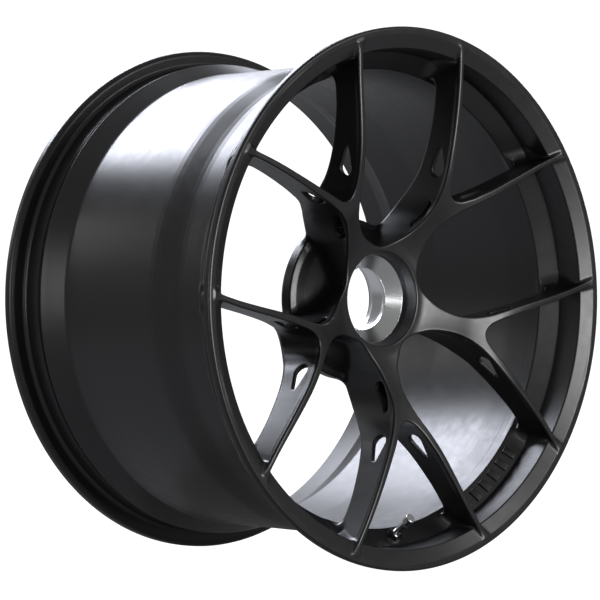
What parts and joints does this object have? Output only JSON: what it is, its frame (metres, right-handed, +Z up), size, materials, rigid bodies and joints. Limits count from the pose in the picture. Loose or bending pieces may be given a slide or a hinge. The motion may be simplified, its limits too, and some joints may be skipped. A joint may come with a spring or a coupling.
{
  "type": "forged racing wheel rim",
  "caption": "Deep one-piece forged racing wheel rim with Y-shaped spokes, wide barrel, centre-lock cone seat and angled tyre valve.",
  "frame": {"origin": "on the wheel axis at the hub mounting plane", "axes": "+Y along the wheel axis toward the car (inboard); -Y is the street side; +Z up"},
  "size_m": [0.5418, 0.3286, 0.5418],
  "materials": {
    "rim_black": "satin black coating on forged aluminium",
    "machined_aluminium": "turned, bare",
    "bush_steel": "ground steel",
    "valve_metal": "bright anodised",
    "valve_nut_dark": "black anodised",
    "rubber": "moulded rubber",
    "brass": "turned brass",
    "spring_steel": "bright wire"
  },
  "bodies": {
    "rim": {"rim_forging": "rim_black", "centre_cone_insert": "machined_aluminium", "drive_pin_bush_1": "bush_steel", "drive_pin_bush_2": "bush_steel", "drive_pin_bush_3": "bush_steel", "drive_pin_bush_4": "bush_steel", "drive_pin_bush_5": "bush_steel", "valve_stem": "valve_metal", "valve_grommet": "rubber", "valve_washer": "valve_metal", "valve_nut": "valve_nut_dark", "valve_core_body": "brass", "valve_core_seal": "rubber", "valve_core_spring": "spring_steel"},
    "core_pin": {"valve_core_pin": "brass"},
    "cap_seal": {"valve_cap_seal": "rubber"},
    "cap": {"valve_cap": "valve_metal"}
  },
  "joints": [
    {"name": "core_pin_push", "type": "slide", "parent": "rim", "child": "core_pin", "axis": [0.0167, 0.7835, -0.6212], "range_m": [0, 0.0015], "stiffness_N_per_m": 700},
    {"name": "cap_lift", "type": "slide", "parent": "rim", "child": "cap_seal", "axis": [-0.0167, -0.7835, 0.6212], "range_m": [0, 0.00476]},
    {"name": "cap_turn", "type": "hinge", "parent": "cap_seal", "child": "cap", "pos_m": [0.00596, -0.0975, -0.22188], "axis": [-0.0167, -0.7835, 0.6212], "range_deg": [0, 2160]}
  ],
  "couplings": [
    {"joint": "cap_turn", "follows": "cap_lift", "rad_per_m": 7913.3}
  ]
}
